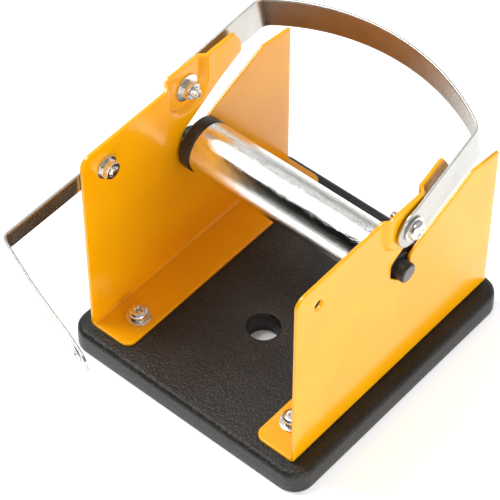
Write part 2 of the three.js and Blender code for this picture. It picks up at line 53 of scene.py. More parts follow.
# ------------------------------------------------------------- dimensions, mm
BASE_W, BASE_D, BASE_BOTTOM, BASE_TOP = 120.0, 130.0, 0.3, 11.0
SHEET, WALL_X, FLANGE_IN = 1.5, 52.8, 32.6
BR_FRONT, BR_BACK = -58.9, 61.5
BOSS_OUT, BOSS_Y, BOSS_Z, BOSS_R1, BOSS_R2 = 2.7, 0.6, 98.2, 11.3, 9.0
SEAT_Y, SEAT_Z, SEAT_R = 3.38, 69.6, 4.3
PIVOT_Y, PIVOT_Z = 1.74, 97.8
GUIDE_Y, GUIDE_Z, GUIDE_DIP = -46.5, 94.1, 2.0
BAIL_TILT, BAIL_W, BAIL_T = 11.5, 16.6, 1.0
GUIDE_W, GUIDE_T = 8.6, 1.0
FS_X, FS_Y = 40.2, (-44.5, 47.0)
HOLE_R, HOLE_Y = 6.7, -14.7
rad = math.radians


# ---------------------------------------------------------------- mesh helpers
def new_object(name, verts, faces, flip=False):
    """verts in mm about the base's middle."""
    v = np.asarray(verts, float).copy()
    v[:, 1] += YC
    v *= MM
    me = bpy.data.meshes.new(name)
    if flip:
        faces = [tuple(reversed(f)) for f in faces]
    me.from_pydata([tuple(p) for p in v], [], [tuple(f) for f in faces])
    me.validate()
    me.update()
    ob = bpy.data.objects.new(name, me)
    bpy.context.scene.collection.objects.link(ob)
    return ob


def tidy(ob, merge=2e-7, outward=True):
    bm = bmesh.new()
    bm.from_mesh(ob.data)
    bmesh.ops.remove_doubles(bm, verts=bm.verts, dist=merge)
    bmesh.ops.dissolve_degenerate(bm, edges=bm.edges, dist=1e-8)
    if outward:
        bmesh.ops.recalc_face_normals(bm, faces=bm.faces)
    bm.to_mesh(ob.data)
    bm.free()
    return ob


def shade(ob, angle=35.0):
    me = ob.data
    me.polygons.foreach_set("use_smooth", [True] * len(me.polygons))
    me.set_sharp_from_angle(angle=rad(angle))
    me.update()
    return ob


def finish_piece(ob, body, material, nodes=(), angle=35.0):
    shade(ob, angle)
    ob.data.materials.clear()
    ob.data.materials.append(material)
    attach(ob, body)
    if nodes:
        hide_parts(*nodes)
    return ob


def boolean(a, b, op="DIFFERENCE", keep=False):
    mod = a.modifiers.new("cut", "BOOLEAN")
    mod.operation, mod.object, mod.solver = op, b, "EXACT"
    dg = bpy.context.evaluated_depsgraph_get()
    dg.update()
    me = bpy.data.meshes.new_from_object(a.evaluated_get(dg))
    a.modifiers.clear()
    old = a.data
    a.data = me
    bpy.data.meshes.remove(old)
    if not keep:
        m = b.data
        bpy.data.objects.remove(b)
        bpy.data.meshes.remove(m)
    return a


def bevel(ob, width, segments=2, angle=30.0):
    mod = ob.modifiers.new("edge", "BEVEL")
    mod.width, mod.segments, mod.limit_method, mod.angle_limit = width * MM, segments, "ANGLE", rad(angle)
    mod.use_clamp_overlap = True
    mod.miter_outer = "MITER_ARC"
    dg = bpy.context.evaluated_depsgraph_get()
    dg.update()
    me = bpy.data.meshes.new_from_object(ob.evaluated_get(dg))
    ob.modifiers.clear()
    old = ob.data
    ob.data = me
    bpy.data.meshes.remove(old)
    return ob


def lathe(name, profile, segments=96, axis="X", at=(0, 0, 0), flip_axis=1):
    """Solid of revolution. profile is (radius, along) pairs. A profile that starts
    and ends on the axis is capped by it, any other one closes on itself."""
    prof = list(profile)
    closed = prof[0][0] > 1e-9
    if closed and prof[0] == prof[-1]:
        prof = prof[:-1]
    verts, rings = [], []
    for r, a in prof:
        if r < 1e-9:
            rings.append([len(verts)])
            verts.append((0.0, 0.0, a))
        else:
            ring = []
            for k in range(segments):
                t = 2 * math.pi * k / segments
                ring.append(len(verts))
                verts.append((r * math.cos(t), r * math.sin(t), a))
            rings.append(ring)
    faces = []
    pairs = list(zip(rings, rings[1:]))
    if closed:
        pairs.append((rings[-1], rings[0]))
    for p, q in pairs:
        for k in range(segments):
            n = (k + 1) % segments
            if len(p) == 1 and len(q) == 1:
                break
            if len(p) == 1:
                faces.append((p[0], q[n], q[k]))
            elif len(q) == 1:
                faces.append((p[k], p[n], q[0]))
            else:
                faces.append((p[k], p[n], q[n], q[k]))
    v = np.array(verts)
    v[:, 2] *= flip_axis
    if axis == "X":
        v = v[:, [2, 0, 1]]
    elif axis == "Y":
        v = v[:, [1, 2, 0]]
    v = v + np.array(at, float)
    ob = new_object(name, v, faces)
    return tidy(ob)


def arc(cx, cy, r, a0, a1, n):
    return [(cx + r * math.cos(rad(a0 + (a1 - a0) * i / n)), cy + r * math.sin(rad(a0 + (a1 - a0) * i / n)))
            for i in range(n + 1)]


def round_poly(pts, step=0.35, min_steps=4):
    """Polygon with rounded corners from (u, v, radius) triples."""
    out, n = [], len(pts)
    for i in range(n):
        x, y, r = pts[i]
        P = np.array([x, y], float)
        if not r:
            out.append(P)
            continue
        A = np.array(pts[i - 1][:2], float) - P
        B = np.array(pts[(i + 1) % n][:2], float) - P
        A /= np.linalg.norm(A)
        B /= np.linalg.norm(B)
        ang = math.acos(max(-1, min(1, float(A @ B))))
        t, h = r / math.tan(ang / 2), r / math.sin(ang / 2)
        m = A + B
        C = P + m / np.linalg.norm(m) * h
        s, e = P + A * t - C, P + B * t - C
        a0 = math.atan2(s[1], s[0])
        d = math.atan2(e[1], e[0]) - a0
        while d > math.pi:
            d -= 2 * math.pi
        while d < -math.pi:
            d += 2 * math.pi
        k = max(min_steps, int(abs(d) * r / step))
        for j in range(k + 1):
            a = a0 + d * j / k
            out.append(C + r * np.array([math.cos(a), math.sin(a)]))
    return np.array(out)


def densify(loop, step):
    out, n = [], len(loop)
    for i in range(n):
        a, b = loop[i], loop[(i + 1) % n]
        L = float(np.linalg.norm(b - a))
        if L < 1e-6:
            continue
        k = max(1, int(math.ceil(L / step)))
        for j in range(k):
            out.append(a + (b - a) * j / k)
    return np.array(out)


def add_rows(loop, values, axis=1, tol=1e-6):
    """Adds a vertex wherever the loop crosses one of the values along axis."""
    out, n = [], len(loop)
    for i in range(n):
        a, b = loop[i], loop[(i + 1) % n]
        out.append(a)
        hits = []
        for v in values:
            lo, hi = min(a[axis], b[axis]), max(a[axis], b[axis])
            if lo + tol < v < hi - tol:
                hits.append((v - a[axis]) / (b[axis] - a[axis]))
        for t in sorted(hits):
            out.append(a + (b - a) * t)
    return np.array(out)


def loop_normals(loop):
    prev, nxt = np.roll(loop, 1, 0), np.roll(loop, -1, 0)
    e0, e1 = loop - prev, nxt - loop
    e0 /= np.linalg.norm(e0, axis=1)[:, None]
    e1 /= np.linalg.norm(e1, axis=1)[:, None]
    n0 = np.stack([e0[:, 1], -e0[:, 0]], 1)
    n1 = np.stack([e1[:, 1], -e1[:, 0]], 1)
    m = n0 + n1
    m /= np.linalg.norm(m, axis=1)[:, None]
    c = np.clip((m * n0).sum(1), 0.4, 1)
    return m / c[:, None]


def inside(points, loops):
    p = np.asarray(points, float)
    odd = np.zeros(len(p), bool)
    for loop in loops:
        a, b = loop, np.roll(loop, -1, 0)
        for s in range(0, len(p), 4000):
            q = p[s:s + 4000]
            ay, by = a[:, 1][None], b[:, 1][None]
            cond = (ay > q[:, 1:2]) != (by > q[:, 1:2])
            with np.errstate(divide="ignore", invalid="ignore"):
                xs = a[:, 0][None] + (q[:, 1:2] - ay) / (by - ay) * (b[:, 0] - a[:, 0])[None]
            odd[s:s + 4000] ^= (np.sum(cond & (q[:, 0:1] < xs), 1) % 2).astype(bool)
    return odd


def near(points, loops, dist):
    p = np.asarray(points, float)
    keep = np.zeros(len(p), bool)
    allp = np.concatenate([densify(l, dist * 0.8) for l in loops])
    for s in range(0, len(p), 1500):
        q = p[s:s + 1500]
        d = ((q[:, None, :] - allp[None]) ** 2).sum(2).min(1)
        keep[s:s + 1500] = d < dist * dist
    return keep


def area(loop):
    x, y = loop[:, 0], loop[:, 1]
    return 0.5 * float(np.sum(x * np.roll(y, -1) - np.roll(x, -1) * y))


def sheet(name, outer, holes, thick, edge, mapper, points, clear=0.35, steps=3, flip=False):
    """A sheet-metal piece with rounded edges. outer and holes are loops in the flat
    pattern, mapper takes flat points and offsets from the middle surface to space."""
    loops = []
    for k, l in enumerate([outer, *holes]):
        l = np.asarray(l, float)
        if (area(l) > 0) != (k == 0):
            l = l[::-1]
        loops.append(l)
    normals = [loop_normals(l) for l in loops]
    insets = [l - n * edge for l, n in zip(loops, normals)]
    pts = np.asarray(points, float)
    pts = pts[inside(pts, insets)]
    pts = pts[~near(pts, insets, clear)]
    flat = np.concatenate([*insets, pts])
    edges, base = [], 0
    for l in insets:
        n = len(l)
        edges += [(base + i, base + (i + 1) % n) for i in range(n)]
        base += n
    vs, es, fs, ov, oe, of_ = delaunay_2d_cdt([Vector(p) for p in flat], edges, [], 0, 1e-7, True)
    vs = np.array([tuple(v) for v in vs])
    tri = np.array([f for f in fs if len(f) == 3])
    mid = vs[tri].mean(1)
    tri = tri[inside(mid, insets)]
    a, b, c = vs[tri[:, 0]], vs[tri[:, 1]], vs[tri[:, 2]]
    cr = (b[:, 0] - a[:, 0]) * (c[:, 1] - a[:, 1]) - (b[:, 1] - a[:, 1]) * (c[:, 0] - a[:, 0])
    tri = tri[np.abs(cr) > 1e-9]
    cr = cr[np.abs(cr) > 1e-9]
    tri[cr < 0] = tri[cr < 0][:, ::-1]
    where = {}
    for new, olds in enumerate(ov):
        for o in olds:
            where[o] = new
    h = thick / 2
    verts = [mapper(vs, np.full(len(vs), h)), mapper(vs, np.full(len(vs), -h))]
    nv = len(vs)
    faces = [tuple(t) for t in tri] + [(t[2] + nv, t[1] + nv, t[0] + nv) for t in tri]
    total, base = 2 * nv, 0
    for l, nm in zip(insets, normals):
        n = len(l)
        rings = [[where[base + i] for i in range(n)]]
        prof = []
        for k in range(1, steps + 1):
            q = math.pi / 2 * k / steps
            prof.append((edge * math.sin(q), h - edge * (1 - math.cos(q))))
        prof += [(o, -z) for o, z in reversed(prof)]
        for o, z in prof:
            verts.append(mapper(l + nm * o, np.full(n, z)))
            rings.append(list(range(total, total + n)))
            total += n
        rings.append([where[base + i] + nv for i in range(n)])
        for p, q in zip(rings, rings[1:]):
            for i in range(n):
                j = (i + 1) % n
                faces.append((p[i], q[i], q[j], p[j]))
        base += n
    ob = new_object(name, np.concatenate(verts), faces, flip)
    return tidy(ob)


def grid(u0, u1, v0, v1, du, dv):
    us = np.arange(u0, u1 + 1e-6, du)
    vs = np.arange(v0, v1 + 1e-6, dv)
    return np.array([(u, v) for u in us for v in vs])


# ------------------------------------------------------------------- materials
def material(name):
    m = bpy.data.materials.new(name)
    m.use_nodes = True
    nt = m.node_tree
    nt.nodes.clear()
    out = nt.nodes.new("ShaderNodeOutputMaterial")
    bsdf = nt.nodes.new("ShaderNodeBsdfPrincipled")
    nt.links.new(bsdf.outputs[0], out.inputs[0])
    return m, nt, bsdf


def N(nt, kind, **props):
    n = nt.nodes.new(kind)
    for k, v in props.items():
        if k.startswith("i_"):
            n.inputs[k[2:].replace("_", " ")].default_value = v
        else:
            setattr(n, k, v)
    return n


def coords(nt, scale=(1, 1, 1), rotation=(0, 0, 0)):
    """Object coordinates in millimetres times scale."""
    tc = N(nt, "ShaderNodeTexCoord")
    mp = N(nt, "ShaderNodeMapping")
    mp.inputs["Scale"].default_value = [1000 * s for s in scale]
    mp.inputs["Rotation"].default_value = rotation
    nt.links.new(tc.outputs["Object"], mp.inputs["Vector"])
    return mp.outputs["Vector"]


def noise(nt, vec, scale, detail=3.0, rough=0.5, distortion=0.0):
    n = N(nt, "ShaderNodeTexNoise")
    n.inputs["Scale"].default_value = scale
    n.inputs["Detail"].default_value = detail
    n.inputs["Roughness"].default_value = rough
    n.inputs["Distortion"].default_value = distortion
    nt.links.new(vec, n.inputs["Vector"])
    return n.outputs["Fac"]


def remap(nt, val, lo, hi, to_lo, to_hi, smooth=False):
    n = N(nt, "ShaderNodeMapRange")
    n.interpolation_type = "SMOOTHSTEP" if smooth else "LINEAR"
    n.clamp = True if hasattr(n, "clamp") else True
    n.inputs["From Min"].default_value = lo
    n.inputs["From Max"].default_value = hi
    n.inputs["To Min"].default_value = to_lo
    n.inputs["To Max"].default_value = to_hi
    nt.links.new(val, n.inputs["Value"])
    return n.outputs["Result"]


def ramp(nt, val, stops):
    n = N(nt, "ShaderNodeValToRGB")
    el = n.color_ramp.elements
    while len(el) > 1:
        el.remove(el[-1])
    el[0].position, el[0].color = stops[0][0], (*stops[0][1], 1)
    for p, c in stops[1:]:
        e = el.new(p)
        e.color = (*c, 1)
    nt.links.new(val, n.inputs["Fac"])
    return n.outputs["Color"]


def math_node(nt, op, a, b):
    n = N(nt, "ShaderNodeMath", operation=op)
    for k, v in enumerate((a, b)):
        if isinstance(v, (int, float)):
            n.inputs[k].default_value = v
        else:
            nt.links.new(v, n.inputs[k])
    return n.outputs[0]


def bump(nt, bsdf, height, strength, distance, normal=None):
    n = N(nt, "ShaderNodeBump")
    n.inputs["Strength"].default_value = strength
    n.inputs["Distance"].default_value = distance * MM
    nt.links.new(height, n.inputs["Height"])
    if normal is not None:
        nt.links.new(normal, n.inputs["Normal"])
    nt.links.new(n.outputs["Normal"], bsdf.inputs["Normal"])
    return n.outputs["Normal"]


def srgb(r, g, b):
    def f(c):
        c /= 255
        return c / 12.92 if c <= 0.04045 else ((c + 0.055) / 1.055) ** 2.4
    return (f(r), f(g), f(b))


def paint():
    m, nt, b = material("bracket_paint")
    v = coords(nt)
    broad = noise(nt, v, 0.035, 3, 0.5)
    fine = noise(nt, v, 1.3, 3, 0.6)
    col = ramp(nt, broad, [(0.3, srgb(250, 171, 2)), (0.7, srgb(255, 180, 4))])
    nt.links.new(col, b.inputs["Base Color"])
    nt.links.new(remap(nt, fine, 0.3, 0.7, 0.15, 0.21), b.inputs["Roughness"])
    b.inputs["IOR"].default_value = 1.5
    peel = noise(nt, v, 0.75, 2, 0.5)
    bump(nt, b, peel, 0.10, 0.04)
    return m


def base_plastic():
    m, nt, b = material("base_plastic")
    v = coords(nt)
    cells = N(nt, "ShaderNodeTexVoronoi", feature="SMOOTH_F1")
    cells.inputs["Scale"].default_value = 0.95
    cells.inputs["Smoothness"].default_value = 0.5
    mix = N(nt, "ShaderNodeVectorMath", operation="ADD")
    sc = N(nt, "ShaderNodeVectorMath", operation="SCALE")
    n3 = N(nt, "ShaderNodeTexNoise")
    n3.inputs["Scale"].default_value = 0.8
    nt.links.new(v, n3.inputs["Vector"])
    nt.links.new(n3.outputs["Color"], sc.inputs[0])
    sc.inputs["Scale"].default_value = 1.4
    nt.links.new(v, mix.inputs[0])
    nt.links.new(sc.outputs[0], mix.inputs[1])
    nt.links.new(mix.outputs[0], cells.inputs["Vector"])
    fine = noise(nt, v, 1.3, 3, 0.7)
    h = math_node(nt, "ADD", cells.outputs["Distance"], math_node(nt, "MULTIPLY", fine, 0.7))
    tone = noise(nt, v, 0.05, 4, 0.6)
    grainy = math_node(nt, "ADD", math_node(nt, "MULTIPLY", tone, 0.35), math_node(nt, "MULTIPLY", fine, 0.65))
    col = ramp(nt, grainy, [(0.38, srgb(12, 11, 10)), (0.5, srgb(25, 24, 22)), (0.62, srgb(46, 44, 41))])
    nt.links.new(col, b.inputs["Base Color"])
    nt.links.new(remap(nt, h, 0.2, 1.2, 0.34, 0.46), b.inputs["Roughness"])
    b.inputs["Specular IOR Level"].default_value = 0.4
    bump(nt, b, h, 0.9, 0.22)
    return m


def black_plastic():
    m, nt, b = material("bush_plastic")
    v = coords(nt)
    n = noise(nt, v, 0.8, 4, 0.6)
    nt.links.new(ramp(nt, n, [(0.3, srgb(24, 22, 21)), (0.7, srgb(36, 34, 33))]), b.inputs["Base Color"])
    nt.links.new(remap(nt, n, 0.3, 0.7, 0.32, 0.5), b.inputs["Roughness"])
    bump(nt, b, noise(nt, v, 3.0, 3, 0.6), 0.15, 0.04)
    return m


def chrome():
    """Polished plate over a drawn tube: fine ragged streaks run lengthwise."""
    m, nt, b = material("roller_chrome")
    streak = noise(nt, coords(nt, (0.06, 1, 1)), 1.7, 3, 0.65, 0.2)
    patch = noise(nt, coords(nt, (0.3, 1, 1)), 0.5, 4, 0.6, 0.4)
    grain = noise(nt, coords(nt, (0.45, 1, 1)), 2.8, 2, 0.6)
    b.inputs["Metallic"].default_value = 1.0
    tone = math_node(nt, "ADD", math_node(nt, "MULTIPLY", grain, 0.55), math_node(nt, "MULTIPLY", patch, 0.45))
    col = ramp(nt, tone, [(0.36, (0.55, 0.55, 0.53)), (0.47, (0.88, 0.88, 0.86)), (0.6, (0.94, 0.94, 0.92))])
    nt.links.new(col, b.inputs["Base Color"])
    nt.links.new(remap(nt, patch, 0.35, 0.75, 0.03, 0.08), b.inputs["Roughness"])
    h = math_node(nt, "ADD", math_node(nt, "MULTIPLY", streak, 0.6), math_node(nt, "MULTIPLY", grain, 0.7))
    bump(nt, b, h, 1.0, 0.11)
    return m


def strip_steel(name, tone=(0.80, 0.79, 0.77), along=(1, 1, 1), rough=(0.26, 0.36)):
    m, nt, b = material(name)
    v = coords(nt, along)
    lines = noise(nt, v, 2.0, 4, 0.6)
    v2 = coords(nt)
    cloud = noise(nt, v2, 0.08, 4, 0.6)
    b.inputs["Metallic"].default_value = 1.0
    lo = tuple(c * 0.86 for c in tone)
    nt.links.new(ramp(nt, cloud, [(0.3, lo), (0.7, tone)]), b.inputs["Base Color"])
    nt.links.new(remap(nt, lines, 0.3, 0.7, rough[0], rough[1]), b.inputs["Roughness"])
    bump(nt, b, lines, 0.06, 0.05)
    return m


def zinc():
    m, nt, b = material("fastener_zinc")
    v = coords(nt)
    n = noise(nt, v, 0.9, 4, 0.6)
    b.inputs["Metallic"].default_value = 1.0
    nt.links.new(ramp(nt, n, [(0.25, (0.62, 0.61, 0.57)), (0.7, (0.80, 0.79, 0.76))]), b.inputs["Base Color"])
    nt.links.new(remap(nt, n, 0.3, 0.7, 0.16, 0.3), b.inputs["Roughness"])
    bump(nt, b, noise(nt, v, 4.0, 2, 0.5), 0.08, 0.03)
    return m


def axle_steel():
    m, nt, b = material("axle_steel")
    # black coat with the end faces ground bare
    geo = N(nt, "ShaderNodeTexCoord")
    sep = N(nt, "ShaderNodeSeparateXYZ")
    nt.links.new(geo.outputs["Object"], sep.inputs[0])
    ax = math_node(nt, "ABSOLUTE", sep.outputs["X"], 0)
    face = remap(nt, ax, 55.90 * MM, 55.97 * MM, 0, 1)
    v = coords(nt)
    n = noise(nt, v, 1.2, 4, 0.65)
    body = ramp(nt, n, [(0.3, srgb(30, 29, 29)), (0.7, srgb(48, 46, 45))])
    end = ramp(nt, n, [(0.3, srgb(92, 90, 90)), (0.7, srgb(128, 124, 122))])
    mix = N(nt, "ShaderNodeMix", data_type="RGBA")
    nt.links.new(face, mix.inputs["Factor"])
    nt.links.new(body, mix.inputs[6])
    nt.links.new(end, mix.inputs[7])
    nt.links.new(mix.outputs[2], b.inputs["Base Color"])
    nt.links.new(remap(nt, n, 0.3, 0.7, 0.3, 0.45), b.inputs["Roughness"])
    b.inputs["Metallic"].default_value = 0.25
    bump(nt, b, n, 0.1, 0.05)
    return m


def rubber():
    m, nt, b = material("foot_rubber")
    v = coords(nt)
    n = noise(nt, v, 1.5, 4, 0.6)
    nt.links.new(ramp(nt, n, [(0.3, srgb(18, 18, 18)), (0.7, srgb(32, 31, 31))]), b.inputs["Base Color"])
    nt.links.new(remap(nt, n, 0.3, 0.7, 0.75, 0.95), b.inputs["Roughness"])
    bump(nt, b, n, 0.3, 0.1)
    return m


M_PAINT, M_BASE, M_BUSH, M_CHROME = paint(), base_plastic(), black_plastic(), chrome()
M_BAIL = strip_steel("bail_steel", (0.58, 0.58, 0.55), (0.15, 0.6, 1.2))
M_GUIDE = strip_steel("guide_steel", (0.56, 0.57, 0.54), (0.15, 0.6, 1.2), (0.21, 0.29))
M_EYE = strip_steel("eyelet_steel", (0.80, 0.79, 0.76), (1, 1, 1))
M_ZINC, M_AXLE, M_RUBBER = zinc(), axle_steel(), rubber()


# ------------------------------------------------------------------ base plate
def ring(inset, z, step=0.7):
    x, y = BASE_W / 2 - inset, BASE_D / 2 - inset
    r = max(9.0 - inset, 0.6)
    pts = []
    for cx, cy, a0 in ((x - r, y - r, 0), (-x + r, y - r, 90), (-x + r, -y + r, 180), (x - r, -y + r, 270)):
        pts += arc(cx, cy, r, a0, a0 + 90, 14)
    return [(px, py, z) for px, py in pts]


def loft(name, rings):
    n = len(rings[0])
    verts = [p for r in rings for p in r]
    faces = []
    for k in range(len(rings) - 1):
        for i in range(n):
            j = (i + 1) % n
            faces.append((k * n + i, k * n + j, (k + 1) * n + j, (k + 1) * n + i))
    faces.append(tuple(reversed(range(n))))
    faces.append(tuple(range((len(rings) - 1) * n, len(rings) * n)))
    return new_object(name, verts, faces)


def cylinder(name, r, z0, z1, x, y, n=48, turn=0.0):
    lo = [(x + r * math.cos(2 * math.pi * k / n + turn), y + r * math.sin(2 * math.pi * k / n + turn), z0) for k in range(n)]
    return loft(name, [lo, [(a, b, z1) for a, b, _ in lo]])


def block(name, x0, x1, y0, y1, z0, z1):
    lo = [(x0, y0, z0), (x1, y0, z0), (x1, y1, z0), (x0, y1, z0)]
    return loft(name, [lo, [(a, b, z1) for a, b, _ in lo]])


def build_base():
    R = 2.6
    rings = [ring(0.6, BASE_BOTTOM), ring(0.18, BASE_BOTTOM + 0.18), ring(0, BASE_BOTTOM + 0.6), ring(0, 5.0), ring(0.05, BASE_TOP - R)]
    for k in range(1, 9):
        a = math.pi / 2 * k / 8
        rings.append(ring(0.05 + R * (1 - math.cos(a)), BASE_TOP - R + R * math.sin(a)))
    body = loft("base_shell", rings)
    hollow = loft("h", [ring(3, -0.5), ring(3, 4.0)])
    keep = [cylinder("k", HOLE_R + 3, -1, 9, 0, HOLE_Y, 48)]
    for sx in (-1, 1):
        keep += [cylinder("k", 7, -1, 9, sx * FS_X, y, 40) for y in FS_Y]
        keep += [cylinder("k", 8.7, -1, 9, sx * 49, sy * 54, 40) for sy in (-1, 1)]
        keep.append(block("k", sx * 20 - 1, sx * 20 + 1, -64, 64, -1, 9))
    keep += [block("k", -58.5, 58.5, y - 1, y + 1, -1, 9) for y in (-40, HOLE_Y, 25)]
    for k in keep:
        boolean(hollow, k)
    boolean(body, hollow)
    # hole with a chamfered mouth
    cut = [(HOLE_R, -1), (HOLE_R, 10.05)] + [(HOLE_R + 1.1 * (1 - math.cos(rad(q))), 10.05 + 0.95 * math.sin(rad(q))) for q in (20, 40, 60, 80)]
    prof = [(0, -1), *cut, (HOLE_R + 1.1, 11.0), (HOLE_R + 1.3, 11.2), (0, 11.2)]
    c = lathe("c", prof, 64, "Z", (0, HOLE_Y, 0))
    boolean(body, c)
    for sx in (-1, 1):
        for y in FS_Y:
            boolean(body, cylinder("c", 2.2, 0, 12, sx * FS_X, y, 32))
            boolean(body, cylinder("c", 3.65 / math.cos(rad(30)), 0, 7, sx * FS_X, y, 6))
        for sy in (-1, 1):
            boolean(body, cylinder("c", 6.2, 0, 2, sx * 49, sy * 54, 48))
    body.name = "base_shell"
    tidy(body, 1e-7)
    return finish_piece(body, "stand", M_BASE, ["base_plate"], 30)


build_base()

for n in ("front_left", "front_right", "rear_left", "rear_right"):
    lo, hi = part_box("foot_" + n)
    c = (lo + hi) / 2 * 1000
    prof = [(0, 0.35), (2.2, 0.35), (2.6, 0.0), (5.4, 0.0), (5.85, 0.15), (6.0, 0.5), (6.0, 2.0), (0, 2.0)]
    ob = lathe("foot_pad_" + n, prof, 64, "Z", (c.x, c.y - YC, 0))
    finish_piece(ob, "stand", M_RUBBER, ["foot_" + n], 40)

# -------------------------------------------------------------------- brackets
RM = 1.0 + SHEET / 2                       # middle radius of the fold
Z_FL = BASE_TOP + SHEET / 2                # middle of the flange's sheet
Z_B = Z_FL + RM
ARC_L = RM * math.pi / 2
X_M = WALL_X - SHEET / 2
V_FL = Z_B - ARC_L                         # where the flange starts in the flat pattern
V_END = V_FL - (X_M - RM - FLANGE_IN)


def smooth(t):
    t = np.clip(t, 0, 1)
    return t * t * t * (t * (6 * t - 15) + 10)


def boss_rho(y, z):
    return np.where(z < BOSS_Z, np.hypot(y - BOSS_Y, z - BOSS_Z), np.abs(y - BOSS_Y))


def wall_out(y, v):
    """How far the middle surface stands out of the wall's plane."""
    rho = boss_rho(y, v)
    t = (BOSS_R1 + 0.35 - rho) / (BOSS_R1 - BOSS_R2 + 0.35)
    d = (BOSS_OUT - 0.02) * (0.35 * np.clip(t, 0, 1) + 0.65 * smooth(t))
    lean = 1.1 * smooth((y - 11.0) / 16.0) * smooth((v - 88.0) / 18.0) * (rho > BOSS_R1)
    return np.where(v > 60, d - lean, 0.0)


def wall_point(p):
    y, v = p[:, 0], p[:, 1]
    a = np.clip((Z_B - v) / RM, 0, math.pi / 2)
    past = np.clip(V_FL - v, 0, None)
    x = np.where(v > Z_B, X_M + wall_out(y, v), X_M - RM * (1 - np.cos(a)) - past)
    z = np.where(v > Z_B, v, Z_B - RM * np.sin(a))
    return np.stack([x, y, z], 1)


def bracket_map(side):
    def f(p, off):
        p = np.asarray(p, float)
        e = 0.02
        du = wall_point(p + [e, 0]) - wall_point(p - [e, 0])
        dv = wall_point(p + [0, e]) - wall_point(p - [0, e])
        n = np.cross(du, dv)
        n /= np.linalg.norm(n, axis=1)[:, None]
        q = wall_point(p) + n * np.asarray(off)[:, None]
        q[:, 0] *= side
        return q
    return f


def bracket_outline():
    pts = [
        (BR_FRONT, V_END, 4.5), (BR_FRONT, 50, 0), (BR_FRONT, 105.6, 5.0),
        (-12.6, 106.6, 6.0), (-7.4, 109.1, 3.0), (9.6, 108.9, 6.0),
        (25.9, 111.5, 1.8), (29.6, 105.4, 2.4), (30.9, 98.5, 1.6),
        (-4.0, 78.3, 3.4), (-4.0, 71.0, 1.5)]
    seq = [tuple(p) for p in pts]
    seq += [(a, b, 0) for a, b in arc(SEAT_Y, SEAT_Z, SEAT_R, -135, 0, 26)]
    seq += [(SEAT_Y + SEAT_R, 73.6, 2.2), (16.8, 78.6, 6.0), (45.2, 89.9, 3.0), (BR_BACK, 87.9, 0.8),
            (BR_BACK, 50, 0), (BR_BACK, V_END, 4.5)]
    return round_poly(seq)


BEND_ROWS = [Z_B + 0.15] + [Z_B - ARC_L * k / 10 for k in range(11)] + [V_FL - 0.15]


def circle(y, z, r, n=40):
    return np.array([(y + r * math.cos(2 * math.pi * k / n), z + r * math.sin(2 * math.pi * k / n)) for k in range(n)])


def build_bracket(side, name, node):
    outer = densify(bracket_outline(), 0.9)
    outer = add_rows(outer, BEND_ROWS, 1)
    holes = [circle(PIVOT_Y, PIVOT_Z, 2.2), circle(GUIDE_Y, GUIDE_Z, 2.4, 36)]
    holes += [circle(y, V_FL - (X_M - RM - FS_X), 2.25, 32) for y in FS_Y]
    pts = [grid(BR_FRONT, BR_BACK, 17, 112, 4.0, 4.0), grid(BR_FRONT, BR_BACK, V_END, V_FL - 1.5, 2.0, 2.0)]
    for r in BEND_ROWS:
        pts.append(np.array([(y, r) for y in np.arange(BR_FRONT + 0.9, BR_BACK - 0.5, 1.5)]))
    # rings that follow the boss's outline
    for rho in [6.0, 7.2, 8.2] + list(np.arange(8.7, 12.4, 0.26)) + [13.2, 14.6]:
        k = int(math.pi * rho / 0.75)
        pts.append(np.array([(BOSS_Y + rho * math.cos(a), BOSS_Z + rho * math.sin(a)) for a in np.linspace(math.pi, 2 * math.pi, k + 1)]))
        ups = np.arange(BOSS_Z + 0.75, 112, 0.75)
        pts.append(np.array([(BOSS_Y + s * rho, u) for u in ups for s in (-1, 1)]))
    pts.append(grid(12.5, 31, 86, 112, 1.2, 1.2))
    pts = np.concatenate(pts)
    far = boss_rho(pts[:, 0], pts[:, 1])
    coarse = np.zeros(len(pts), bool)
    coarse[: len(grid(BR_FRONT, BR_BACK, 17, 112, 4.0, 4.0))] = True
    pts = pts[~(coarse & (far < 15))]
    ob = sheet(name, outer, holes, SHEET, 0.4, bracket_map(side), pts, clear=0.3, steps=4, flip=side < 0)
    return finish_piece(ob, "stand", M_PAINT, [node], 50)


build_bracket(1, "bracket_sheet_right", "bracket_right")
build_bracket(-1, "bracket_sheet_left", "bracket_left")


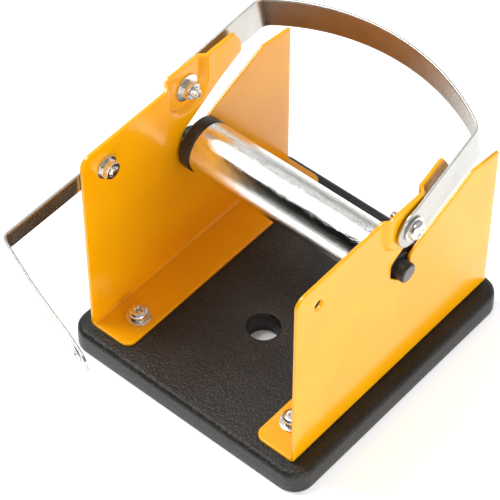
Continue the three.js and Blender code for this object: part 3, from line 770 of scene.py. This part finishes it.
# ---------------------------------------------------------------------- roller
def build_roller():
    AX = (0, SEAT_Y, SEAT_Z)
    c = 0.6
    prof = [(0, -56), (3.0, -56), (3.4, -55.96), (3.75, -55.8), (4.05, -55.45), (4.2, -55.0),
            (4.2, 55.0), (4.05, 55.45), (3.75, 55.8), (3.4, 55.96), (3.0, 56), (0, 56)]
    axle = lathe("axle_shaft", prof, 96, "X", AX)
    finish_piece(axle, "axle", M_AXLE, ["axle_rod"], 40)
    R = 11.0
    prof = [(9.5, -44.75)] + [(9.75, -45)] + [(R - 0.35, -45)]
    prof += [(R - 0.35 + 0.35 * math.sin(rad(q)), -45 + 0.35 * (1 - math.cos(rad(q)))) for q in (30, 60, 90)]
    prof += [(R, x) for x in (-30, -15, 0, 15, 30)]
    prof += [(R - 0.35 + 0.35 * math.sin(rad(q)), 45 - 0.35 * (1 - math.cos(rad(q)))) for q in (90, 60, 30)]
    prof += [(R - 0.35, 45), (9.75, 45), (9.5, 44.75)]
    tube = lathe("roller_tube_chromed", prof, 160, "X", AX)
    finish_piece(tube, "roller", M_CHROME, ["roller_tube"], 40)
    for s, side in ((-1, "left"), (1, "right")):
        Rb = 11.5
        prof = [(4.27, 36), (9.0, 36), (9.4, 36.4), (9.4, 45.02), (Rb - 0.25, 45.02), (Rb, 45.27)]
        prof += [(Rb, 49.3)] + [(Rb - 0.9 + 0.9 * math.cos(rad(q)), 49.3 + 0.9 * math.sin(rad(q))) for q in (20, 40, 60, 80)]
        prof += [(Rb - 0.9, 50.2), (9.4, 50.2), (9.1, 49.9), (8.9, 49.3), (6.6, 49.3), (6.4, 49.6), (6.3, 50.6), (6.1, 50.8), (4.5, 50.8), (4.27, 50.6)]
        bush = lathe("roller_bush_moulded_" + side, prof, 112, "X", AX, s)
        finish_piece(bush, "roller", M_BUSH, ["roller_bush_" + side], 40)


build_roller()


# ------------------------------------------------------------------- fasteners
def to_place(ob, axis, origin, turn=0.0):
    """Moves a piece drawn along +Z about the base's middle at z = 0."""
    ob.data.transform(Matrix.Translation((0, -YC * MM, 0)))
    m = Matrix.Rotation(turn, 4, "Z")
    if axis == "X":
        m = Matrix.Rotation(math.pi / 2, 4, "Y") @ m
    elif axis == "-X":
        m = Matrix.Rotation(-math.pi / 2, 4, "Y") @ m
    ob.data.transform(m)
    ob.data.transform(Matrix.Translation((origin[0] * MM, (origin[1] + YC) * MM, origin[2] * MM)))
    return ob


def thread(name, length, r=2.0, pitch=0.7, depth=0.38, seg=28, z_top=0.0, plain=1.0):
    """Screw shank from z_top down to z_top - length with a rolled thread."""
    rows = int(length / pitch * 10)
    verts, faces = [], []
    for i in range(rows + 1):
        z = -length + length * i / rows
        for k in range(seg):
            a = 2 * math.pi * k / seg
            ph = (z / pitch - k / seg) % 1.0
            tri = abs(ph - 0.5) * 2
            d = depth * min(1, max(0, (1 - tri) * 1.25))
            fade = min(1, max(0, (-z - plain) / 0.6))
            tip = max(0, 0.55 - (z + length)) / 0.55
            rr = r - d * fade - 0.45 * tip
            verts.append((rr * math.cos(a), rr * math.sin(a), z + z_top))
    for i in range(rows):
        for k in range(seg):
            j = (k + 1) % seg
            faces.append((i * seg + k, i * seg + j, (i + 1) * seg + j, (i + 1) * seg + k))
    faces.append(tuple(reversed(range(seg))))
    faces.append(tuple(range(rows * seg, (rows + 1) * seg)))
    return new_object(name, verts, faces)


def frustum_wing(name, l1, l2, w1, w2, z1, z0, turn):
    lo = [(-l2 / 2, -w2 / 2, z0), (l2 / 2, -w2 / 2, z0), (l2 / 2, w2 / 2, z0), (-l2 / 2, w2 / 2, z0)]
    hi = [(-l1 / 2, -w1 / 2, z1), (l1 / 2, -w1 / 2, z1), (l1 / 2, w1 / 2, z1), (-l1 / 2, w1 / 2, z1)]
    c, s = math.cos(turn), math.sin(turn)
    return loft(name, [[(x * c - y * s, x * s + y * c, z) for x, y, z in r] for r in (lo, hi)])


def screw_mesh(length, key):
    R, H = 4.0, 2.6
    prof = [(0, 0), (R - 0.15, 0), (R, 0.15), (R, 0.9)]
    for q in range(12, 91, 6):
        prof.append(((R - 1.9) + 1.9 * math.cos(rad(q)), 0.9 + 1.55 * math.sin(rad(q))))
    prof += [(1.4, 2.53), (0.8, 2.58), (0, H)]
    head = lathe("screw_" + key, prof, 64, "Z")
    w = frustum_wing("w", 4.5, 1.7, 0.95, 0.55, 3.2, 0.85, 0)
    w2 = frustum_wing("w", 4.5, 1.7, 0.95, 0.55, 3.2, 0.85, math.pi / 2)
    boolean(head, w)
    boolean(head, w2)
    core = lathe("core", [(0, 0.55), (0.35, 0.6), (1.25, 3.2), (0, 3.2)], 24, "Z")
    boolean(head, core)
    bevel(head, 0.07, 2, 28)
    shank = thread("shank", length, plain=1.2)
    bm = bmesh.new()
    bm.from_mesh(head.data)
    bm.from_mesh(shank.data)
    bm.to_mesh(head.data)
    bm.free()
    me = head.data.copy()
    bpy.data.objects.remove(head)
    bpy.data.objects.remove(shank)
    return me


def nut_mesh(af=7.0, h=3.2, bore=2.03):
    R = af / 2 / math.cos(rad(30))
    hexa = cylinder("hex", R, 0, h, 0, 0, 6)
    cone = [(0, 0), (af / 2 - 0.1, 0), (R + 0.03, 0.42), (R + 0.03, h - 0.42), (af / 2 - 0.1, h), (0, h)]
    boolean(hexa, lathe("cone", cone, 72, "Z"), "INTERSECT")
    hole = lathe("hole", [(0, -0.2), (bore + 0.45, -0.2), (bore + 0.35, 0), (bore, 0.3), (bore, h - 0.3), (bore + 0.35, h), (bore + 0.45, h + 0.2), (0, h + 0.2)], 48, "Z")
    boolean(hexa, hole)
    bevel(hexa, 0.06, 2, 25)
    me = hexa.data.copy()
    bpy.data.objects.remove(hexa)
    return me


def washer_mesh(inner, outer, t):
    e = 0.12
    prof = [(inner + e, 0), (outer - 2 * e, 0), (outer - e / 2, e / 2), (outer, 2 * e), (outer, t - 2 * e), (outer - e / 2, t - e / 2), (outer - 2 * e, t),
            (inner + e, t), (inner, t - e), (inner, e)]
    ob = lathe("washer", prof, 72, "Z")
    me = ob.data.copy()
    bpy.data.objects.remove(ob)
    return me


def spring_mesh(inner=2.2, outer=3.9, t=0.82, rise=0.26, gap=14.0, slant=9.0):
    sec = [(inner, 0.1), (inner + 0.1, 0), (outer - 0.12, 0), (outer, 0.12), (outer, t - 0.12), (outer - 0.12, t), (inner + 0.1, t), (inner, t - 0.1)]
    n, m = 90, len(sec)
    verts, faces = [], []
    for i in range(n + 1):
        f = i / n
        for r, z in sec:
            a = rad(gap / 2 + (360 - gap) * f + slant * (z / t - 0.5) * 1.6)
            verts.append((r * math.cos(a), r * math.sin(a), z + rise * f))
    for i in range(n):
        for k in range(m):
            j = (k + 1) % m
            faces.append((i * m + k, (i + 1) * m + k, (i + 1) * m + j, i * m + j))
    faces.append(tuple(range(m)))
    faces.append(tuple(reversed(range(n * m, (n + 1) * m))))
    ob = new_object("spring", verts, faces)
    tidy(ob)
    me = ob.data.copy()
    bpy.data.objects.remove(ob)
    return me


def instance(name, mesh, axis, origin, turn, body, node, angle=32):
    ob = bpy.data.objects.new(name, mesh.copy())
    bpy.context.scene.collection.objects.link(ob)
    to_place(ob, axis, origin, turn)
    return finish_piece(ob, body, M_ZINC, [node], angle)


S10, S11, S85 = screw_mesh(10.0, "a"), screw_mesh(11.0, "b"), screw_mesh(8.5, "c")
NUT = nut_mesh()
W_FL, W_IN = washer_mesh(2.2, 5.3, 0.8), washer_mesh(2.15, 6.0, 0.8)
W_G1, W_G2 = washer_mesh(2.15, 4.5, 0.8), washer_mesh(2.15, 5.0, 0.8)
SPRING = spring_mesh()

for sx, nx in ((-1, "left"), (1, "right")):
    for i, (y, ny) in enumerate(zip(FS_Y, ("front", "rear"))):
        tag = f"{ny}_{nx}"
        x, z = sx * FS_X, BASE_TOP + SHEET
        turn = rad((18, 64, 40, 5)[i + (2 if sx > 0 else 0)])
        instance("flat_washer_" + tag, W_FL, "Z", (x, y, z), 0, "stand", "flange_washer_" + tag)
        instance("lock_washer_" + tag, SPRING, "Z", (x, y, z + 0.8), rad(-118 + 60 * i), "stand", "flange_spring_washer_" + tag)
        instance("pan_screw_" + tag, S10, "Z", (x, y, z + 1.9), turn, "stand", "flange_screw_" + tag)
        instance("hex_nut_" + tag, NUT, "Z", (x, y, 3.8), 0, "stand", "flange_nut_" + tag)

for s, nx in ((-1, "left"), (1, "right")):
    ax = "X" if s > 0 else "-X"
    out, mid = 57.5, WALL_X + BOSS_OUT
    inn = mid - SHEET
    instance("pivot_washer_outer_" + nx, W_FL, ax, (s * out, PIVOT_Y, PIVOT_Z), 0, "stand", "bail_washer_outer_" + nx)
    instance("pivot_washer_middle_" + nx, W_FL, ax, (s * mid, PIVOT_Y, PIVOT_Z), 0, "stand", "bail_washer_middle_" + nx)
    instance("pivot_screw_" + nx, S11, ax, (s * (out + 0.8), PIVOT_Y, PIVOT_Z), rad(30), "stand", "bail_screw_" + nx)
    instance("pivot_washer_inner_" + nx, W_IN, ax, (s * (inn - 0.8), PIVOT_Y, PIVOT_Z), 0, "stand", "bail_washer_inner_" + nx)
    instance("pivot_nut_" + nx, NUT, ax, (s * (inn - 4.0), PIVOT_Y, PIVOT_Z), rad(12), "stand", "bail_nut_" + nx)

g_out, g_inn = 53.45 + GUIDE_T / 2 + 0.1, WALL_X - SHEET
instance("guide_pivot_washer_outer", W_G1, "-X", (-g_out, GUIDE_Y, GUIDE_Z), 0, "stand", "guide_washer_outer")
instance("guide_pivot_screw", S85, "-X", (-(g_out + 0.8), GUIDE_Y, GUIDE_Z), rad(15), "stand", "guide_screw")
instance("guide_pivot_washer_inner", W_G2, "-X", (-(g_inn - 0.8), GUIDE_Y, GUIDE_Z), 0, "stand", "guide_washer_inner")
instance("guide_pivot_nut", NUT, "-X", (-(g_inn - 4.0), GUIDE_Y, GUIDE_Z), rad(8), "stand", "guide_nut")


# -------------------------------------------------------------- strips of steel
class Line:
    """Smooth centre line of a bent strip, by arc length."""

    def __init__(self, pts):
        p = np.asarray(pts, float)
        seg = np.linalg.norm(np.diff(p, axis=0), axis=1)
        self.s = np.concatenate([[0], np.cumsum(seg)])
        self.p = p
        self.length = float(self.s[-1])

    def at(self, s):
        s = np.asarray(s, float)
        out = np.stack([np.interp(s, self.s, self.p[:, k]) for k in (0, 1)], 1)
        d0 = (self.p[1] - self.p[0]) / (self.s[1] - self.s[0])
        d1 = (self.p[-1] - self.p[-2]) / (self.s[-1] - self.s[-2])
        lo, hi = np.minimum(s, 0), np.maximum(s - self.length, 0)
        return out + lo[:, None] * d0 + hi[:, None] * d1

    def dir(self, s, e=0.35):
        d = self.at(np.asarray(s) + e) - self.at(np.asarray(s) - e)
        return d / np.linalg.norm(d, axis=1)[:, None]


def fillet(pts, k, r, n=12):
    P, A, B = (np.array(pts[i], float) for i in (k, k - 1, k + 1))
    a, b = A - P, B - P
    a /= np.linalg.norm(a)
    b /= np.linalg.norm(b)
    ang = math.acos(float(a @ b))
    t, h = r / math.tan(ang / 2), r / math.sin(ang / 2)
    m = a + b
    C = P + m / np.linalg.norm(m) * h
    s, e = P + a * t - C, P + b * t - C
    a0 = math.atan2(s[1], s[0])
    d = math.atan2(e[1], e[0]) - a0
    d = (d + math.pi) % (2 * math.pi) - math.pi
    mid = [tuple(C + r * np.array([math.cos(a0 + d * j / n), math.sin(a0 + d * j / n)])) for j in range(n + 1)]
    return [*[tuple(p) for p in pts[:k]], *mid, *[tuple(p) for p in pts[k + 1:]]]


def spline(pts, step=0.5):
    """Catmull-Rom through the points."""
    p = [np.array(q, float) for q in pts]
    p = [2 * p[0] - p[1], *p, 2 * p[-1] - p[-2]]
    out = []
    for i in range(1, len(p) - 2):
        n = max(2, int(np.linalg.norm(p[i + 1] - p[i]) / step))
        for j in range(n):
            t = j / n
            out.append(0.5 * ((2 * p[i]) + (-p[i - 1] + p[i + 1]) * t + (2 * p[i - 1] - 5 * p[i] + 4 * p[i + 1] - p[i + 2]) * t * t
                              + (-p[i - 1] + 3 * p[i] - 3 * p[i + 1] + p[i + 2]) * t ** 3))
    out.append(p[-2])
    return [tuple(q) for q in out]


def strip(name, line, width, thick, ends, holes, place, edge=0.2, step=1.5, flip=False):
    """ends: (s0, s1) of the flat pattern, each end a half circle where round."""
    (s0, r0), (s1, r1) = ends
    w = width / 2
    pts = []
    pts += arc(s0 + w, 0, w, 90, 270, 28) if r0 else [(s0, w), (s0, -w)]
    pts += arc(s1 - w, 0, w, -90, 90, 28) if r1 else [(s1, -w), (s1, w)]
    outer = densify(np.array(pts), 1.0)
    rows = list(np.arange(s0 + w + 0.5, s1 - w - 0.3, step))
    outer = add_rows(outer, rows, 0)
    inner = np.array([(r, u) for r in rows for u in np.linspace(-w + 1.6, w - 1.6, 5)])
    more = grid(s0 + 0.6, s0 + w + 0.4, -w, w, 1.2, 1.2)
    more2 = grid(s1 - w - 0.4, s1 - 0.6, -w, w, 1.2, 1.2)

    def f(p, off):
        p = np.asarray(p, float)
        c, d = line.at(p[:, 0]), line.dir(p[:, 0])
        q = c + np.stack([-d[:, 1], d[:, 0]], 1) * np.asarray(off)[:, None]
        return place(q[:, 0], q[:, 1], p[:, 1])

    return sheet(name, outer, holes, thick, edge, f, np.concatenate([inner, more, more2]), clear=0.3, steps=3, flip=flip)


def build_bail():
    X0, X1, S1, APEX, BOW = 56.9, 54.2, 36.0, 61.2, 96.0
    c, cx = APEX - BOW, 53.45
    s_at = lambda x: c + math.sqrt(BOW ** 2 - x * x)
    half = [(-X0, -BAIL_W / 2 - 2), (-X0, 4), (-X1, S1), (-cx, s_at(cx))]
    xs = [-47.5 + 95 * k / 48 for k in range(49)]
    pts = half + [(x, s_at(x)) for x in xs] + [(-x, s) for x, s in reversed(half)]
    pts = fillet(pts, len(pts) - 4, 6.0)
    pts = fillet(pts, 3, 6.0)
    line = Line(pts)
    # flat-pattern position of each pivot
    piv = BAIL_W / 2 + 2
    s0, s1 = piv - BAIL_W / 2, line.length - piv + BAIL_W / 2
    t = rad(BAIL_TILT)

    def place(x, s, w):
        return np.stack([x, PIVOT_Y + s * math.cos(t) - w * math.sin(t), PIVOT_Z + s * math.sin(t) + w * math.cos(t)], 1)

    holes = [circle(piv, 0, 2.1, 36), circle(line.length - piv, 0, 2.1, 36)]
    ob = strip("bail_strip", line, BAIL_W, BAIL_T, ((s0, True), (s1, True)), holes, place, edge=0.22)
    return finish_piece(ob, "bail", M_BAIL, ["bail"], 45)


build_bail()


def build_guide():
    pts = [(-53.45, -6.5), (-53.45, 12.5), (-54.2, 51.6), (-47, 54.3), (-40, 56.9), (-32, 59.9),
           (-25, 62.3), (-18, 64.5), (-11, 66.7), (-5, 68.5), (1.8, 71.0), (8.8, 73.6)]
    pts = fillet(pts, 2, 3.6)
    head = pts[:-10]
    body = spline(pts[-10:], 0.6)
    line = Line([*head, *body])
    t = math.pi + rad(GUIDE_DIP)

    def place(x, s, w):
        return np.stack([x, GUIDE_Y + s * math.cos(t) - w * math.sin(t), GUIDE_Z + s * math.sin(t) + w * math.cos(t)], 1)

    # eyelet's place on the line
    ss = np.linspace(line.length - 14, line.length, 240)
    at = line.at(ss)
    k = int(np.argmin(np.abs(at[:, 0] - 1.2)))
    se = float(ss[k])
    ex, es = at[k]
    holes = [circle(6.5, 0, 2.1, 36), circle(se, 0, 2.5, 40)]
    s0 = 6.5 - GUIDE_W / 2
    ob = strip("wire_guide_strip", line, GUIDE_W, GUIDE_T, ((s0, True), (line.length, True)), holes, place, edge=0.22)
    finish_piece(ob, "wire_guide", M_GUIDE, ["wire_guide"], 45)
    # rolled eyelet
    d = line.dir(np.array([se]))[0]
    h = GUIDE_T / 2
    prof = [(1.75, -h - 0.2), (1.9, -h - 0.42), (2.3, -h - 0.5), (2.9, -h - 0.42), (3.3, -h - 0.15), (3.35, -h - 0.03), (2.44, -h - 0.03),
            (2.44, h + 0.03), (3.35, h + 0.03), (3.3, h + 0.15), (2.9, h + 0.42), (2.3, h + 0.5), (1.9, h + 0.42), (1.75, h + 0.2)]
    eye = lathe("eyelet_ring", prof, 48, "Z")
    v = np.array([tuple(p.co) for p in eye.data.vertices])
    v[:, 1] -= YC * MM
    v *= 1000
    n = np.array([-d[1], d[0]])
    x = ex + v[:, 0] * d[0] + v[:, 2] * n[0]
    s = es + v[:, 0] * d[1] + v[:, 2] * n[1]
    q = place(x, s, v[:, 1])
    q[:, 1] += YC
    eye.data.vertices.foreach_set("co", (q * MM).astype(np.float32).ravel())
    eye.data.update()
    tidy(eye)
    finish_piece(eye, "wire_guide", M_EYE, ["guide_eyelet"], 40)


build_guide()

# ---------------------------------------------------------------- floor, light
floor = new_object("floor_plane", [(-3000, -3000, 0), (3000, -3000, 0), (3000, 3000, 0), (-3000, 3000, 0)], [(0, 1, 2, 3)])
fm, fnt, fb = material("floor_white")
fb.inputs["Roughness"].default_value = 0.9
fb.inputs["Specular IOR Level"].default_value = 0.1
fp = N(fnt, "ShaderNodeSeparateXYZ")
fnt.links.new(N(fnt, "ShaderNodeTexCoord").outputs["Object"], fp.inputs[0])
# a white table whose colour is painted down to near black far in front and to the left, painted shade standing in for
# the unlit room; it also glows, and that glow is painted light, dimmed under the base as painted shadow
far_front = remap(fnt, fp.outputs["Y"], (YC - 380) * MM, (YC - 480) * MM, 0, 1, True)
far_left = remap(fnt, fp.outputs["X"], 0.10, -0.05, 0, 1, True)
# painted shade: the floor's colour and glow fall to 0.05 far in front and to the left, where the room is unlit
floor_tone_with_painted_dark_room = remap(fnt, math_node(fnt, "MULTIPLY", far_front, far_left), 0, 1, 1.0, 0.05)
tone = N(fnt, "ShaderNodeCombineColor")
for k in range(3):
    fnt.links.new(math_node(fnt, "MULTIPLY", floor_tone_with_painted_dark_room, 0.93), tone.inputs[k])
fnt.links.new(tone.outputs[0], fb.inputs["Base Color"])
# painted light and shadow: the floor glows white as if lit, and its glow drops to 0.12 under the base's footprint as
# painted shadow
off_x = remap(fnt, math_node(fnt, "ABSOLUTE", fp.outputs["X"], 0), 0.050, 0.062, 0, 1, True)
off_y = remap(fnt, math_node(fnt, "ABSOLUTE", math_node(fnt, "SUBTRACT", fp.outputs["Y"], YC * MM), 0), 0.055, 0.067, 0, 1, True)
painted_glow_with_base_shadow = math_node(fnt, "MAXIMUM", math_node(fnt, "MAXIMUM", off_x, off_y), 0.12)
fb.inputs["Emission Color"].default_value = (1, 1, 1, 1)
fnt.links.new(math_node(fnt, "MULTIPLY", math_node(fnt, "MULTIPLY", floor_tone_with_painted_dark_room, painted_glow_with_base_shadow), 0.50), fb.inputs["Emission Strength"])
floor.data.materials.append(fm)

world = bpy.data.worlds.new("studio")
bpy.context.scene.world = world
world.use_nodes = True
wn = world.node_tree
wn.nodes.clear()
wo = wn.nodes.new("ShaderNodeOutputWorld")
bg = wn.nodes.new("ShaderNodeBackground")
wn.links.new(bg.outputs[0], wo.inputs[0])
wc = wn.nodes.new("ShaderNodeTexCoord")
sp = wn.nodes.new("ShaderNodeSeparateXYZ")
wn.links.new(wc.outputs["Generated"], sp.inputs[0])
# bright overhead, softer round the sides, with a dark stretch of room low down in
# front and to the left
to_front = remap(wn, sp.outputs["Y"], -0.28, -0.40, 0, 1, True)
to_left = remap(wn, sp.outputs["X"], 0.25, -0.05, 0, 1, True)
low_down = remap(wn, sp.outputs["Z"], 0.88, 0.82, 0, 1, True)
dark = math_node(wn, "MULTIPLY", math_node(wn, "MULTIPLY", to_front, to_left), low_down)
overhead = remap(wn, sp.outputs["Z"], 0.55, 0.82, 0, 1, True)
behind = math_node(wn, "MULTIPLY", remap(wn, sp.outputs["Y"], 0.0, 0.6, 0, 0.55, True), remap(wn, sp.outputs["X"], 0.25, -0.1, 0.2, 1, True))
to_right = remap(wn, sp.outputs["X"], 0.0, 0.5, 0, 0.62, True)
not_high = remap(wn, sp.outputs["Z"], 0.70, 0.45, 0, 1, True)
right_low = math_node(wn, "MULTIPLY", math_node(wn, "MULTIPLY", to_right, not_high), remap(wn, sp.outputs["Y"], 0.55, 0.15, 0.35, 1, True))
glow = math_node(wn, "ADD", behind, math_node(wn, "ADD", math_node(wn, "MULTIPLY", overhead, 0.15), 0.25))
glow = math_node(wn, "ADD", glow, right_low)
lit = remap(wn, dark, 0.0, 1.0, 1.0, 0.03)
bg.inputs["Color"].default_value = (1, 1, 1, 1)
wn.links.new(math_node(wn, "MULTIPLY", glow, lit), bg.inputs["Strength"])


def softbox(name, centre, aim, size, power, colour=(1, 1, 1)):
    li = bpy.data.lights.new(name, "AREA")
    li.shape, li.size, li.size_y = "RECTANGLE", size[0], size[1]
    li.energy, li.color = power, colour
    ob = bpy.data.objects.new(name, li)
    bpy.context.scene.collection.objects.link(ob)
    ob.location = centre
    ob.rotation_mode = "QUATERNION"
    ob.rotation_quaternion = (Vector(aim) - Vector(centre)).to_track_quat("-Z", "Y")
    return ob


mid = Vector((0, YC * MM, 0.05))
softbox("key_above_left", mid + Vector((-0.516, -0.19, 1.06)), mid, (0.40, 0.62), 11.0)
softbox("side_right", mid + Vector((1.15, -0.32, 0.37)), mid, (0.6, 0.44), 5.2)

# ---------------------------------------------------------------------- camera
cam_data = bpy.data.cameras.new("camera")
cam = bpy.data.objects.new("camera", cam_data)
bpy.context.scene.collection.objects.link(cam)
bpy.context.scene.camera = cam
AZ, EL, DIST, LENS = 40.795, 48.814, 924.29, 170.78
TARGET = Vector((-9.241, -12.337 + YC, 48.21)) * MM
back = Vector((math.sin(rad(AZ)) * math.cos(rad(EL)), -math.cos(rad(AZ)) * math.cos(rad(EL)), math.sin(rad(EL))))
cam.location = TARGET + back * DIST * MM
cam.rotation_mode = "QUATERNION"
cam.rotation_quaternion = (-back).to_track_quat("-Z", "Y")
cam_data.sensor_width = 36
cam_data.lens = LENS
cam_data.clip_start, cam_data.clip_end = 0.05, 20

bpy.context.scene.view_settings.view_transform = "Standard"
